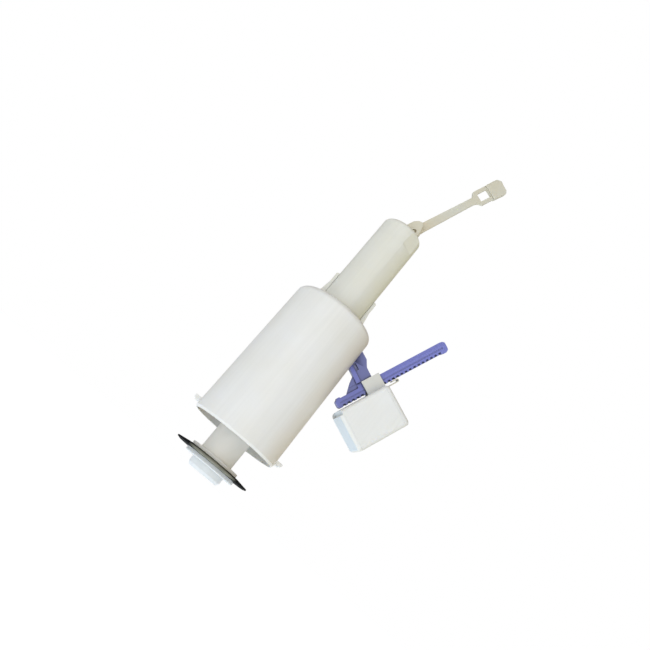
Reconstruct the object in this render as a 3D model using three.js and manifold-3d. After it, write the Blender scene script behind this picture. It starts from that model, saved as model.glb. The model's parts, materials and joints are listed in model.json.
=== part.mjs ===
// Cistern flush valve with an overflow tube, a round rubber seal and an adjustable part-flush float.
// Millimetres, +Z up the valve axis. The origin is on that axis, at the sealing plane of the rubber
// washer. The part-flush lever stands out towards +X.
import * as THREE from 'three';
import { RoundedBoxGeometry } from 'three/addons/geometries/RoundedBoxGeometry.js';
import { mergeVertices } from 'three/addons/utils/BufferGeometryUtils.js';
import Module from 'manifold-3d';

const wasm = await Module();
wasm.setup();

// ---------------------------------------------------------------- driving dimensions
const GAP = 0.3;                       // clearance between pieces that touch or nest
const RUN = 0.2;                       // radial clearance of a pin in its hole
const LIFT = 20;                       // travel of the valve stem

const SEAL = {
  rOut: 31.5, rIn: 11.5, thick: 3.4, landR: 22, landEnd: 29, landDrop: 0.5,
  taperR: 23, lipLow: 0.7, lipHigh: 1.9,
};
const DISC = { r: 21, thick: 3.2 };
const NUT = { r: 13.8, bottomR: 12.1, bottomZ: -9.6, chamfer: 2.2 };
const TUBE = { r: 13.5, bore: 10.8, spigotR: 11.2, spigotBore: 9.4, bottomZ: -9, topZ: 114 };
const FLANGE = { r: 20, thick: 1.8 };

const BELL = { rimZ: 24.5, rimR: 35.8, topZ: 147, topR: 34.6, shoulder: 5, wall: 1.8, holeR: 20.7 };
const LUG = { reach: 40.6, bottomZ: 28, topZ: 31.4, halfWidth: 5, bevel: 2 };
const WINDOW = { bottomZ: 119, topZ: 139, halfWidth: 3.2 };

const RISER = { r: 17.9, topR: 17.7, wall: 1.6, bottomZ: 97, topZ: 222, socket: 12 };
const SLOT = { count: 3, stepDeg: 32, width: 5, bottomZ: 203, height: 13 };
const CAP = { topZ: 238, round: 3.2, wall: 2, plug: 8 };
const CATCH = { r: 20.8, thick: 3, bottomZ: 114.1 };
const GUIDE = { bore: 18.4, skirtR: 20.4, skirtZ: 137.5, flangeR: 25, flangeThick: 2 };
const EAR = { topZ: 173.4, halfWidth: 4.2, tipX: 20, footX: 23.4, waistZ: 153.5, bendZ: 158.5, tipZ: 164 };

const FLOAT = { r: 27, bottomZ: 42, topZ: 84, wall: 1.6, hub: 24 };
const LOCK = { r: 17, thick: 4 };

const ROD_PIVOT = { x: 6.1, z: 243.3 };
const ROD = {
  tiltDeg: 20.7, knuckleR: 3.8, halfThick: 1.5, knuckleHalf: 2.8,
  rootHalf: 3.6, neckHalf: 3.0, taperStart: 14,
};
const EYE = { start: 66.8, half: 6.9, holeStart: 69.6, holeEnd: 80.8, holeHalf: 3.5 };
const TAB = {
  end: 96.6, half: 7.2, halfThick: 2.6, shift: 0.3, corner: 3.4, tongueHalf: 5.5, tongueEnd: 92,
};
const CLEVIS = { inner: 3.1, outer: 5.6, stopThick: 1.3, stopLow: -7, stopTop: 3 };
const FACET = { azimuthDeg: -48, leanDeg: 4.1, depthR: 16.6, z: 230.2 };
const PIN_R = 1.5;

const LEVER_PIVOT = { x: 29.1, z: 124.7 };
const LEVER = { tiltDeg: 22.9, hubR: 3.1, hubHalf: 2.6, webHalf: 1.1, ribHalf: 2.3 };
const RAIL = {
  x: 26.5, half: 4.3, bottom: -24.7, top: 76.7, halfThick: 3, bevel: 0.8, narrowZ: -4, narrow: 1.6,
};
const RACK = { pitch: 4, depth: 1.2, first: -21, count: 23 };
const TOOTH = { tipX: -10.5, top: 8.9, bottom: 5 };
const BRACKET = { inner: 3.0, outer: 5.2, frontX: 24.8, bottomZ: 112, topZ: 132 };

const CUP = { x: 31.8, width: 33.6, bottom: -29.4, length: 45.2, halfDepth: 14.4, wall: 1.5, round: 3.2 };
const LID = { thick: 3.6, plug: 2, wall: 1.4 };
const NOTCH = { width: 3.8, height: 2.8 };
const CLIP = { bottom: 0.2, top: 16.2, lipBottom: 3.2, arm: 1.5, lipHook: 1.5, lip: 1.4 };
const LATCH = { half: 3.2, thick: 0.8, legX: 33.9, turn: 1.4, reach: 12, back: 4 };

const rad = THREE.MathUtils.degToRad;

// ---------------------------------------------------------------- shape helpers
// One closed body with shared vertices and outward faces.
function closed(geometry) {
  geometry.deleteAttribute('normal');
  geometry.deleteAttribute('uv');
  const merged = mergeVertices(geometry, 1e-4);
  const position = merged.attributes.position;
  const index = Array.from(merged.index.array);
  const kept = [];
  let volume = 0;
  const [a, b, c] = [new THREE.Vector3(), new THREE.Vector3(), new THREE.Vector3()];
  for (let i = 0; i < index.length; i += 3) {
    const [p, q, r] = index.slice(i, i + 3);
    if (p === q || q === r || p === r) continue;
    a.fromBufferAttribute(position, p);
    b.fromBufferAttribute(position, q);
    c.fromBufferAttribute(position, r);
    volume += a.dot(b.clone().cross(c));
    kept.push(p, q, r);
  }
  if (volume < 0) kept.reverse();
  merged.setIndex(kept);
  return merged;
}

// A ring or cup turned about Z from a closed outline of [radius, height] points.
function turned(outline, segments = 40) {
  const points = [...outline, outline[0]].map(([r, z]) => new THREE.Vector2(r, z));
  return closed(new THREE.LatheGeometry(points, segments).rotateX(Math.PI / 2));
}

// A flat plate: an outline in the XZ plane, given thickness in Y and centred on the plane y.
function plate(outline, halfThick, y = 0, bevel = 0) {
  const shape = outline instanceof THREE.Shape
    ? outline : new THREE.Shape(outline.map(([x, z]) => new THREE.Vector2(x, z)));
  const depth = 2 * (halfThick - bevel);
  const geometry = new THREE.ExtrudeGeometry(shape, {
    depth, curveSegments: 8, bevelEnabled: bevel > 0, bevelSegments: 1,
    bevelThickness: bevel, bevelSize: bevel, bevelOffset: -bevel,
  });
  return closed(geometry.translate(0, 0, -depth / 2).rotateX(Math.PI / 2).translate(0, y, 0));
}

function block(x, y, z) {
  const geometry = new THREE.BoxGeometry(x[1] - x[0], y[1] - y[0], z[1] - z[0]);
  return closed(geometry.translate((x[0] + x[1]) / 2, (y[0] + y[1]) / 2, (z[0] + z[1]) / 2));
}

function pinAlongY(radius, half, x = 0, z = 0) {
  return closed(new THREE.CylinderGeometry(radius, radius, 2 * half, 18).translate(x, 0, z));
}

// Points of an arc in the outline's plane, from one angle to another, in degrees.
function arc(x, z, radius, from, to, steps = 6) {
  return Array.from({ length: steps + 1 }, (_, i) => {
    const angle = rad(from + (to - from) * i / steps);
    return [x + radius * Math.cos(angle), z + radius * Math.sin(angle)];
  });
}

function solid(geometry) {
  return new wasm.Manifold(new wasm.Mesh({
    numProp: 3,
    vertProperties: new Float32Array(geometry.attributes.position.array),
    triVerts: new Uint32Array(geometry.index.array),
  }));
}

function surface(manifold) {
  const mesh = manifold.getMesh();
  const geometry = new THREE.BufferGeometry();
  geometry.setAttribute('position', new THREE.BufferAttribute(new Float32Array(mesh.vertProperties), 3));
  geometry.setIndex(Array.from(mesh.triVerts));
  return geometry;
}

function join(first, ...others) {
  return surface(others.reduce((whole, next) => whole.add(solid(next)), solid(first)));
}

function cut(first, ...tools) {
  return surface(tools.reduce((whole, tool) => whole.subtract(solid(tool)), solid(first)));
}

function common(first, second) {
  return surface(solid(first).intersect(solid(second)));
}

// ---------------------------------------------------------------- materials
const FINISH = {
  shell: { color: 0xe9e9e6, roughness: 0.38 },
  riser: { color: 0xdcdcd0, roughness: 0.36 },
  bright: { color: 0xe4eae8, roughness: 0.34 },
  rubber: { color: 0x232326, roughness: 0.75 },
  blue: { color: 0x5a60a8, roughness: 0.42 },
  rod: { color: 0xcfcdc0, roughness: 0.45 },
};

const flushValve = new THREE.Group();

function piece(name, finish, geometry, parent = flushValve) {
  const { color, roughness } = FINISH[finish];
  const mesh = new THREE.Mesh(geometry, new THREE.MeshStandardMaterial({ color, roughness, metalness: 0 }));
  mesh.name = name;
  parent.add(mesh);
}

// ---------------------------------------------------------------- housing
function bellHousing() {
  const { rimZ, rimR, topZ, topR, shoulder, wall, holeR } = BELL;
  const inner = shoulder - wall;
  const shell = turned([
    [rimR - wall, rimZ], [rimR - 0.7, rimZ], [rimR, rimZ + 0.9],
    ...arc(topR - shoulder, topZ - shoulder, shoulder, 0, 90, 5),
    [holeR, topZ], [holeR, topZ - wall],
    ...arc(topR - shoulder, topZ - shoulder, inner, 90, 0, 4),
  ], 64);
  const { reach, bottomZ, topZ: lugTop, halfWidth, bevel } = LUG;
  const root = rimR - 1;
  const lug = (side) => plate([
    [side * root, bottomZ], [side * (reach - bevel), bottomZ], [side * reach, bottomZ + bevel / 2],
    [side * reach, lugTop], [side * root, lugTop],
  ], halfWidth);
  const opening = block([28, 40], [-WINDOW.halfWidth, WINDOW.halfWidth], [WINDOW.bottomZ, WINDOW.topZ]);
  return cut(join(shell, lug(1), lug(-1)), opening);
}

// Ring in the neck of the bell that guides the riser, with an upright ear on either side.
function neckGuide() {
  const { bore, skirtR, skirtZ, flangeR, flangeThick } = GUIDE;
  const seat = BELL.topZ + GAP;
  const ring = turned([
    [bore, skirtZ], [skirtR, skirtZ], [skirtR, seat], [flangeR, seat],
    [flangeR - 0.8, seat + flangeThick], [bore, seat + flangeThick],
  ], 56);
  const ear = (side) => plate([
    [side * (bore - 1), seat + 1], [side * EAR.footX, seat + 1], [side * (EAR.footX - 1.8), EAR.waistZ],
    [side * (EAR.tipX + 0.8), EAR.bendZ], [side * EAR.tipX, EAR.tipZ], [side * EAR.tipX, EAR.topZ - 1],
    [side * (EAR.tipX - 0.8), EAR.topZ], [side * (bore - 1), EAR.topZ],
  ], EAR.halfWidth);
  const bored = turned([
    [0, skirtZ - 1], [bore, skirtZ - 1], [bore, EAR.topZ + 1], [0, EAR.topZ + 1],
  ], 56);
  return cut(join(ring, ear(1), ear(-1)), bored);
}

// Saddle inside the bell that carries the lever pin on two cheeks.
function leverBracket() {
  const { inner, outer, frontX, bottomZ, topZ } = BRACKET;
  const { x, z } = LEVER_PIVOT;
  const cheekOutline = [
    [frontX, z - 3.5], [frontX, z + 3.5], [x, topZ], [36, topZ], [36, bottomZ], [28.4, bottomZ],
    [28.4, WINDOW.bottomZ - 2],
  ];
  const whole = cut(
    plate(cheekOutline, outer),
    block([20, 40], [-inner, inner], [WINDOW.bottomZ - GAP, topZ + 1]),
    pinAlongY(PIN_R + RUN, outer + 1, x, z),
  );
  const insideBell = BELL.topR - BELL.wall - GAP;
  const core = turned([
    [0, bottomZ - 1], [insideBell, bottomZ - 1], [insideBell, topZ + 1], [0, topZ + 1],
  ], 64);
  return common(whole, core);
}

// ---------------------------------------------------------------- valve stem
function valveTube() {
  const { r, bore, spigotR, spigotBore, bottomZ, topZ } = TUBE;
  const seat = SEAL.thick + GAP;
  return turned([
    [spigotBore, bottomZ], [spigotR, bottomZ], [spigotR, seat], [FLANGE.r, seat],
    [FLANGE.r, seat + FLANGE.thick], [r + 1, seat + FLANGE.thick], [r, seat + FLANGE.thick + 1],
    [r, topZ], [bore, topZ], [bore, seat + 2], [spigotBore, seat],
  ]);
}

function sealWasher() {
  const { rOut, rIn, thick, landR, landEnd, landDrop, taperR, lipLow, lipHigh } = SEAL;
  return turned([
    [rIn, landDrop], [landR - landDrop, landDrop], [landR, 0], [landEnd, 0], [rOut, lipLow],
    [rOut, lipHigh], [taperR, thick], [rIn, thick],
  ], 56);
}

function clampDisc() {
  const top = SEAL.landDrop - GAP;
  const bottom = top - DISC.thick;
  return turned([
    [SEAL.rIn, bottom], [DISC.r - 0.8, bottom], [DISC.r, bottom + 0.8], [DISC.r, top], [SEAL.rIn, top],
  ]);
}

function retainerNut() {
  const top = SEAL.landDrop - 2 * GAP - DISC.thick;
  const { r, bottomR, bottomZ, chamfer } = NUT;
  return turned([
    [SEAL.rIn, bottomZ], [bottomR, bottomZ], [r, bottomZ + chamfer], [r, top], [SEAL.rIn, top],
  ]);
}

// Inverted cup that traps air under the water and keeps the lifted stem up.
function innerFloat() {
  const { r, bottomZ, topZ, wall, hub } = FLOAT;
  const hubR = TUBE.r + GAP;
  return turned([
    [hubR, topZ - hub], [hubR + wall, topZ - hub], [hubR + wall, topZ - wall], [r - wall, topZ - wall],
    [r - wall, bottomZ], [r, bottomZ], [r, topZ - 1.5], [r - 1.5, topZ], [hubR, topZ],
  ]);
}

function lockRing() {
  const bottom = FLOAT.topZ + GAP;
  const bore = TUBE.r + GAP;
  const top = bottom + LOCK.thick;
  return turned([[bore, bottom], [LOCK.r, bottom], [LOCK.r, top], [bore, top]]);
}

// Overflow riser, socketed on the valve tube, with its inlet slots at the back.
function riserTube() {
  const { r, topR, wall, bottomZ, topZ, socket } = RISER;
  const bore = TUBE.r + GAP;
  const pipe = turned([
    [bore, bottomZ], [r - 0.8, bottomZ], [r, bottomZ + 0.8], [topR, topZ], [topR - wall, topZ],
    [r - wall, bottomZ + socket], [bore, bottomZ + socket],
  ]);
  const { count, stepDeg, width, bottomZ: low, height } = SLOT;
  const slots = Array.from({ length: count }, (_, i) => block(
    [-width / 2, width / 2], [r - 6, r + 3], [low, low + height],
  ).rotateZ(rad((i - (count - 1) / 2) * stepDeg)));
  return cut(pipe, ...slots);
}

function jointSeal() {
  const section = (RISER.r - RISER.wall - TUBE.r - 2 * GAP) / 2;
  const ring = new THREE.TorusGeometry(TUBE.r + GAP + section, section, 6, 32);
  return closed(ring.translate(0, 0, RISER.bottomZ + RISER.socket + GAP + section));
}

// Collar on the riser that the lever's catch holds up during a part flush.
function catchCollar() {
  const { r, thick, bottomZ } = CATCH;
  const bore = RISER.r + GAP;
  return turned([[bore, bottomZ], [r, bottomZ], [r, bottomZ + thick - 1], [r - 1, bottomZ + thick],
    [bore, bottomZ + thick]]);
}

function topCap() {
  const { topZ, round, wall, plug } = CAP;
  const seat = RISER.topZ + GAP;
  const plugR = RISER.topR - RISER.wall - GAP;
  const shell = turned([
    [0, topZ - wall], [RISER.topR - round, topZ - wall], [plugR - wall, topZ - round - wall],
    [plugR - wall, seat - plug], [plugR, seat - plug], [plugR, seat], [RISER.topR, seat],
    ...arc(RISER.topR - round, topZ - round, round, 0, 90, 5), [0, topZ],
  ]);
  const { x, z } = ROD_PIVOT;
  const foot = topZ - 1;
  const lugs = plate([
    [x - 9.1, foot], [x - 7.7, z + 0.7], [x - 5.5, z + 6.3], [x - 2.5, z + 9.6], [x + 1.3, z + 10.9],
    [x + 3.1, z + 8.3], [x + 4.5, z + 2.7], [x + 4.7, foot],
  ], CLEVIS.outer);
  const between = block([-20, 30], [-CLEVIS.inner, CLEVIS.inner], [topZ, z + 20]);
  // A cross wall between the ears, parallel to the leaning rod, which is the stop it leans on.
  const near = ROD.rootHalf + GAP;
  const stop = plate([
    [near, CLEVIS.stopLow], [near + CLEVIS.stopThick, CLEVIS.stopLow],
    [near + CLEVIS.stopThick, CLEVIS.stopTop], [near, CLEVIS.stopTop],
  ], CLEVIS.inner + 0.9).rotateY(rad(ROD.tiltDeg)).translate(x, 0, z);
  const hole = pinAlongY(PIN_R + RUN, 20, x, z);
  // A shallow flat down one side of the cap, a little deeper at its foot.
  const facet = block([0, 20], [-20, 20], [-12, 12]).rotateY(rad(FACET.leanDeg))
    .translate(FACET.depthR, 0, FACET.z).rotateZ(rad(FACET.azimuthDeg));
  const ears = cut(lugs, between, hole);
  return join(cut(shell, facet), ears, stop);
}

// ---------------------------------------------------------------- pull rod
function pullRod() {
  const { knuckleR, halfThick, knuckleHalf, rootHalf, neckHalf, taperStart } = ROD;
  const shape = new THREE.Shape([
    ...arc(0, 0, knuckleR, 160, 340, 8), [rootHalf, 0], [rootHalf, taperStart], [neckHalf, EYE.start - 3],
    [EYE.half - 2.5, EYE.start], [EYE.half, EYE.start + 2.4], [EYE.half, EYE.holeEnd],
    [TAB.tongueHalf, EYE.holeEnd], [TAB.tongueHalf, TAB.tongueEnd], [-TAB.tongueHalf, TAB.tongueEnd],
    [-TAB.tongueHalf, EYE.holeEnd], [-EYE.half, EYE.holeEnd], [-EYE.half, EYE.start + 1.4],
    [-EYE.half + 1.4, EYE.start], [-neckHalf, EYE.start - 2], [-rootHalf, taperStart],
  ].map(([x, z]) => new THREE.Vector2(x, z)));
  const bar = plate(shape, halfThick);
  const knuckle = plate([...arc(0, 0, knuckleR, 160, 340, 8), [rootHalf, 0], [rootHalf, 9], [-rootHalf, 9]],
    knuckleHalf);
  const eye = block([-EYE.holeHalf, EYE.holeHalf], [-9, 9], [EYE.holeStart, EYE.holeEnd]);
  return cut(join(bar, knuckle), eye, pinAlongY(PIN_R + RUN, 9));
}

// Thick finger tab pushed over the tongue beyond the eye.
function rodEndTab() {
  const { end, half, halfThick, shift, corner, tongueHalf, tongueEnd } = TAB;
  const low = EYE.holeEnd + GAP;
  const outline = [
    [shift - half, low], [shift + half, low], [shift + half + 0.5, end - corner + 0.4],
    [shift + half - corner + 1.4, end - 0.8], [shift + 0.6, end - 0.8], [shift - half + corner, end],
    [shift - half, end - corner],
  ];
  const reach = tongueHalf + GAP;
  const socket = block([-reach, reach], [-ROD.halfThick - GAP, ROD.halfThick + GAP],
    [low - 1, tongueEnd + GAP]);
  return cut(plate(outline, halfThick, 0, 0.6), socket);
}

// ---------------------------------------------------------------- part-flush lever, about its pivot
function railOutline() {
  const { x, half, bottom, top, narrowZ, narrow } = RAIL;
  const inner = x - half;
  const thin = inner + narrow;
  const outer = x + half;
  const teeth = [];
  for (let i = 0; i < RACK.count; i += 1) {
    const z = RACK.first + i * RACK.pitch;
    teeth.push([outer, z], [outer - RACK.depth, z + 0.6], [outer - RACK.depth, z + 2.2], [outer, z + 2.8]);
  }
  return [
    [thin + 1.2, bottom], [outer - 1.4, bottom], [outer, bottom + 1.4], ...teeth,
    [outer + 0.5, top - 6], [outer + 0.9, top - 3], [outer - 0.4, top - 0.5], [outer - 2.5, top],
    [inner + 1.6, top], [inner + 0.4, top - 1.4], [inner, top - 3.8], [inner, narrowZ + narrow],
    [thin, narrowZ], [thin, bottom + 5], [thin - 0.9, bottom + 4.4], [thin - 0.9, bottom + 2.2],
    [thin, bottom + 1.4],
  ];
}

function floatLever() {
  const { hubR, hubHalf, webHalf, ribHalf } = LEVER;
  const foot = RAIL.x - RAIL.half + RAIL.narrow + 0.8;
  const web = plate([
    [foot, -14.6], [17.6, -7.7], [13.7, -2.6], [0, -2.6], [-hubR, 0], [-4.6, TOOTH.bottom - 0.5],
    [TOOTH.tipX, TOOTH.bottom], [TOOTH.tipX, TOOTH.top], [-4, TOOTH.top + 0.4], [-1.2, 13.6], [7.3, 13.6],
    [12.9, 10.6], [foot, 10.4],
  ], webHalf);
  const rib = plate([[0, -2.6], [foot, -2.6], [foot, 2.1], [0, 2.1]], ribHalf);
  const rail = plate(railOutline(), RAIL.halfThick, 0, RAIL.bevel);
  const tooth = plate([[-4.6, TOOTH.bottom - 0.5], [TOOTH.tipX, TOOTH.bottom], [TOOTH.tipX, TOOTH.top],
    [-4, TOOTH.top + 0.4]], ribHalf);
  const slit = block([6.2, 11.2], [-9, 9], [2.3, 4]);
  const whole = join(web, rib, rail, tooth, pinAlongY(hubR, hubHalf));
  return cut(whole, slit, pinAlongY(PIN_R + RUN, 9));
}

// The cup's outer form, or with an inset its hollow, between two heights and rounded all round.
function cupBox(inset, low, high, edge) {
  const side = CUP.width - 2 * inset;
  const rounded = new RoundedBoxGeometry(side, 2 * (CUP.halfDepth - inset), high - low, 3, edge);
  return closed(rounded.translate(CUP.x + CUP.width / 2, 0, (low + high) / 2));
}

// Everything of the cup above, or below, a height.
function cupSlab(low, high) {
  return block([CUP.x - 9, CUP.x + CUP.width + 9], [-30, 30], [low, high]);
}

// Small sealed float: a box closed at its lower end, with the clip that rides on the rail.
function smallFloat() {
  const { x, bottom, length, halfDepth, wall, round } = CUP;
  const top = bottom + length;
  const mouth = top - LID.thick - GAP;
  const outer = cupBox(0, bottom, top, round);
  const across = [-halfDepth - 1, halfDepth + 1];
  const notch = block([x - 1, x + NOTCH.width], across, [bottom - 1, bottom + NOTCH.height]);
  const step = block([x - 1, x + NOTCH.width + wall], across, [bottom - 1, bottom + NOTCH.height + wall]);
  const hollow = cut(cupBox(wall, bottom + wall, top, round - wall), step);
  const inner = RAIL.x - RAIL.half - GAP;
  const face = RAIL.halfThick + GAP;
  const arms = [1, -1].flatMap((side) => {
    const span = [side * face, side * (face + CLIP.arm)].sort((p, q) => p - q);
    const hook = [side * (face + CLIP.arm), side * CLIP.lipHook].sort((p, q) => p - q);
    return [
      block([inner - CLIP.lip, x + 0.8], span, [CLIP.bottom, mouth]),
      block([inner - CLIP.lip, x - GAP], span, [CLIP.bottom, CLIP.top]),
      block([inner - CLIP.lip, inner], hook, [CLIP.lipBottom, CLIP.top]),
    ];
  });
  return join(cut(outer, hollow, cupSlab(mouth, top + 9), notch), ...arms);
}

// Lid pressed into the float's mouth, which seals the air in.
function floatLid() {
  const { bottom, length, wall, round } = CUP;
  const top = bottom + length;
  const seat = top - LID.thick;
  const outer = cut(cupBox(0, bottom, top, round), cupSlab(bottom - 9, seat));
  const inset = wall + GAP;
  const plug = cut(
    cupBox(inset, bottom, seat + 1, 1), cupSlab(bottom - 9, seat - LID.plug),
    cupBox(inset + LID.wall, bottom, seat + 0.4, 0.3),
  );
  return join(outer, plug);
}

// Springy hairpin beside the clip, pressed away from the rack to let the float slide.
function latchFinger() {
  const { half, thick, legX, turn, reach, back } = LATCH;
  const foot = CUP.bottom + CUP.length + GAP;
  const bendZ = foot + reach - turn;
  const bendX = legX - turn;
  const outline = [
    [legX + 4, foot], [legX + 4, foot + 1], [legX, foot + 2.4],
    ...arc(bendX, bendZ, turn, 0, 180, 6), [bendX - turn, bendZ - back],
    [bendX - turn + thick, bendZ - back],
    ...arc(bendX, bendZ, turn - thick, 180, 0, 4), [legX - thick, foot],
  ];
  return plate(outline, half);
}

// ---------------------------------------------------------------- assembly
piece('bell_housing', 'shell', bellHousing());
piece('neck_guide', 'riser', neckGuide());
piece('lever_bracket', 'shell', leverBracket());
piece('lever_pin', 'rod', pinAlongY(PIN_R, BRACKET.outer + 0.3, LEVER_PIVOT.x, LEVER_PIVOT.z));

piece('valve_tube', 'riser', valveTube());
piece('seal_washer', 'rubber', sealWasher());
piece('clamp_disc', 'bright', clampDisc());
piece('retainer_nut', 'bright', retainerNut());
piece('inner_float', 'shell', innerFloat());
piece('float_lock_ring', 'shell', lockRing());
piece('riser_tube', 'riser', riserTube());
piece('joint_seal', 'rubber', jointSeal());
piece('catch_collar', 'shell', catchCollar());
piece('top_cap', 'riser', topCap());
piece('rod_pin', 'rod', pinAlongY(PIN_R, CLEVIS.outer + 0.3, ROD_PIVOT.x, ROD_PIVOT.z));

const rodGroup = new THREE.Group();
rodGroup.position.set(ROD_PIVOT.x, 0, ROD_PIVOT.z);
rodGroup.rotation.y = rad(ROD.tiltDeg);
flushValve.add(rodGroup);
piece('pull_rod', 'rod', pullRod(), rodGroup);
piece('rod_end_tab', 'rod', rodEndTab(), rodGroup);

const leverGroup = new THREE.Group();
leverGroup.position.set(LEVER_PIVOT.x, 0, LEVER_PIVOT.z);
leverGroup.rotation.y = rad(LEVER.tiltDeg);
flushValve.add(leverGroup);
piece('float_lever', 'blue', floatLever(), leverGroup);
piece('small_float', 'shell', smallFloat(), leverGroup);
piece('float_lid', 'shell', floatLid(), leverGroup);
piece('latch_finger', 'shell', latchFinger(), leverGroup);

export default flushValve;
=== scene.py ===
"""Cistern flush valve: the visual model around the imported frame, its materials, studio and camera.

Shapes are drawn in millimetres in the CAD frame (+Z up the valve, +X towards the part-flush lever)
and scaled to metres when they become pieces. Each one stands for the CAD node of the same name.
"""

import json
import math

import bmesh
import bpy
from mathutils import Matrix, Vector


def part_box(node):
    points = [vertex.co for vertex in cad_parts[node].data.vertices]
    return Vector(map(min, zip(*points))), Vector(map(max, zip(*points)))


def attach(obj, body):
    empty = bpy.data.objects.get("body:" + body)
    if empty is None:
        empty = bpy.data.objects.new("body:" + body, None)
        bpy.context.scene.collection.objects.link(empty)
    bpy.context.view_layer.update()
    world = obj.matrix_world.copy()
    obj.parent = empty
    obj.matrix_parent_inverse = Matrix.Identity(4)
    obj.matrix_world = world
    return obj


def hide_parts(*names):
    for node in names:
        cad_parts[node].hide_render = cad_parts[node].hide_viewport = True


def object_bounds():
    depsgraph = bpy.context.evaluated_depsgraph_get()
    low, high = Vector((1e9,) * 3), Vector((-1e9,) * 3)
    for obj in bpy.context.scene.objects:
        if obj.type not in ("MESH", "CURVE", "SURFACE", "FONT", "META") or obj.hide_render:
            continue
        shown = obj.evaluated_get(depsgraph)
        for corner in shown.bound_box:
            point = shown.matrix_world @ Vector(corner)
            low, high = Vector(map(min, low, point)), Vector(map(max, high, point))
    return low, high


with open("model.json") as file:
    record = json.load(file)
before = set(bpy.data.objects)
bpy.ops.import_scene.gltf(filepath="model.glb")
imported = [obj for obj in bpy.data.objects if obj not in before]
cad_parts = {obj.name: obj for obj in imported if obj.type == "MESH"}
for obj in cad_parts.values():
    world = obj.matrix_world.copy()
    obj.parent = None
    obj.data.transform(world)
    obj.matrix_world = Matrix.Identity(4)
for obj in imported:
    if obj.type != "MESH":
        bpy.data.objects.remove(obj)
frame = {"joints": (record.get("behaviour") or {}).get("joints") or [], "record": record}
cad_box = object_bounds()

# ---------------------------------------------------------------- the frame's own sizes
MM = 0.001
record = frame["record"]
JOINT = {joint["name"]: joint for joint in frame["joints"]}
MOUNT = {mount["name"]: mount for mount in record["mounts"]}
BODY_OF = {node: body for body, nodes in record["behaviour"]["bodies"].items() for node in nodes}
SLOT_OF = {part["node"]: part["material_slot"] for part in record["subparts"]}


def corners(node):
    """Lowest and highest corner of a CAD node at rest, in millimetres."""
    low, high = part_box(node)
    return low / MM, high / MM


BELL_LOW, BELL_HIGH = corners("bell_housing")
GUIDE_LOW, GUIDE_HIGH = corners("neck_guide")
BRACKET_LOW, BRACKET_HIGH = corners("lever_bracket")
LEVER_PIN_HIGH = corners("lever_pin")[1]
TUBE_LOW, TUBE_HIGH = corners("valve_tube")
SEAL_HIGH = corners("seal_washer")[1]
DISC_LOW, DISC_HIGH = corners("clamp_disc")
NUT_LOW, NUT_HIGH = corners("retainer_nut")
INNER_LOW, INNER_HIGH = corners("inner_float")
LOCK_LOW, LOCK_HIGH = corners("float_lock_ring")
RISER_LOW, RISER_HIGH = corners("riser_tube")
RING_LOW, RING_HIGH = corners("joint_seal")
COLLAR_LOW, COLLAR_HIGH = corners("catch_collar")
CAP_LOW = corners("top_cap")[0]
ROD_PIN_HIGH = corners("rod_pin")[1]

LEVER_PIVOT = Vector(JOINT["lever_swing"]["pos_m"]) / MM
ROD_PIVOT = Vector(JOINT["rod_swing"]["pos_m"]) / MM
rail_way = Vector(JOINT["float_height"]["axis"])
eye_way = Vector(MOUNT["pull_eye"]["axis"])
LEVER_TILT = math.atan2(rail_way.x, rail_way.z)
ROD_TILT = math.atan2(-eye_way.x, -eye_way.z)
LEVER_PLACE = Matrix.Translation(LEVER_PIVOT) @ Matrix.Rotation(LEVER_TILT, 4, "Y")
ROD_PLACE = Matrix.Translation(ROD_PIVOT) @ Matrix.Rotation(ROD_TILT, 4, "Y")

# ---------------------------------------------------------------- driving dimensions, in millimetres
GAP = 0.3                       # between pieces that pass or locate one another
FINE_GAP = 0.06                 # a parting line that only shows as a seam
PIN_R = 1.5
PIN_HOLE = 1.7
THROUGH = 9.0                   # half length of a drill that passes right through a piece
EDGE = 0.3                      # rounding of an ordinary moulded edge
SQUEEZE = 0.4                   # how far the tube's flange presses into the washer

BELL = {"wall": 1.8, "draft": 1.2, "shoulder": 5.0, "hole": 20.7, "lip": 0.9}
LUG = {"low": 28.0, "high": 31.4, "half": 5.0, "bevel": 2.0}
WINDOW = {"low": 119.0, "high": 139.0, "half": 3.2, "near": 28.0, "far": 40.0}
SADDLE = {"end": 36.0, "heel": 28.4, "nose": 3.5, "between": 3.0}
GUIDE = {"bore": 18.05, "skirt": 20.4, "thick": 2.0}
EAR = {"half": 4.2, "tip": 20.0, "foot": 23.4, "waist_z": 153.5, "bend_z": 158.5, "straight_z": 164.0}
TUBE = {"r": 13.5, "bore": 10.8, "spigot": 11.2, "spigot_bore": 9.4, "flange": 1.8}
SEAL = {"hole": 11.5, "land": 22.0, "land_end": 29.0, "drop": 0.5, "taper": 23.0, "lip_low": 0.7,
        "lip_high": 1.7}
NUT = {"chamfer": 1.7, "chamfer_high": 2.2}
INNER = {"wall": 1.6, "hub": 24.0}
NOTCHES = {"count": 6, "r": 2.4, "out": 1.4}
RISER = {"top": 17.7, "wall": 1.6, "socket": 12.0}
SLOT = {"count": 3, "step": 32.0, "half": 2.5, "low": 203.0, "high": 216.0}
CAP = {"round": 3.2, "wall": 2.0, "top": 238.0}
CAP_PIN_SHORT = 1.9             # how far the rod's pin ends inside the cheeks
FACET = {"azimuth": -51.0, "high": 17.2, "low": 16.45, "turn": 223.5, "end": 213.0}
CLEVIS = {"inner": 3.1, "outer": 5.6, "stop": 1.3, "stop_low": -7.0, "stop_top": 3.0, "bite": 0.9}
CLEVIS_FOOT = (-9.1, 4.7)       # where the cheek's sides meet the cap, across from the pin
ROD = {"knuckle": 3.8, "half": 1.5, "knuckle_half": 2.8, "root": 3.6, "neck": 3.0, "taper": 14.0}
EYE = {"start": 66.8, "half": 6.9, "low": 69.6, "high": 80.8, "hole": 3.6}
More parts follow.
